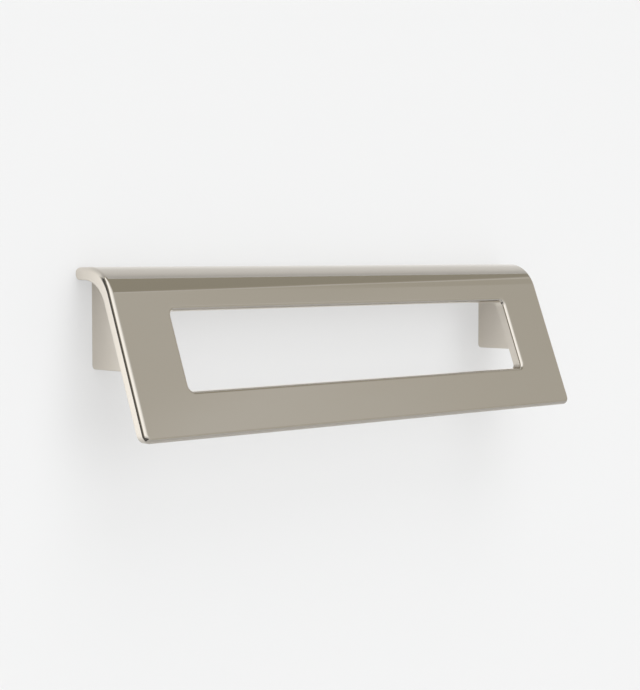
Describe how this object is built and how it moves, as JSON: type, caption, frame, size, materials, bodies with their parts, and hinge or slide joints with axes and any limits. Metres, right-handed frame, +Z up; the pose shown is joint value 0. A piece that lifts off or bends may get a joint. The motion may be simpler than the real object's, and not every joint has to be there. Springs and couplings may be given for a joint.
{
  "type": "flap pull",
  "caption": "Flap pull in a single casting: a lip bends down into a tilted plate with a long window, on posts with blind threaded holes for screws driven from behind.",
  "frame": {"origin": "midway between the mouths of the two screw holes, on the mounting plane", "axes": "+X along the pull, +Y out of the screw holes into the door or drawer front, +Z up; the plate faces -Y"},
  "size_m": [0.1766, 0.03, 0.0459],
  "materials": {
    "polished_nickel": "polished nickel plating on die-cast zinc"
  },
  "bodies": {
    "root": {"pull_body": "polished_nickel"}
  },
  "joints": []
}
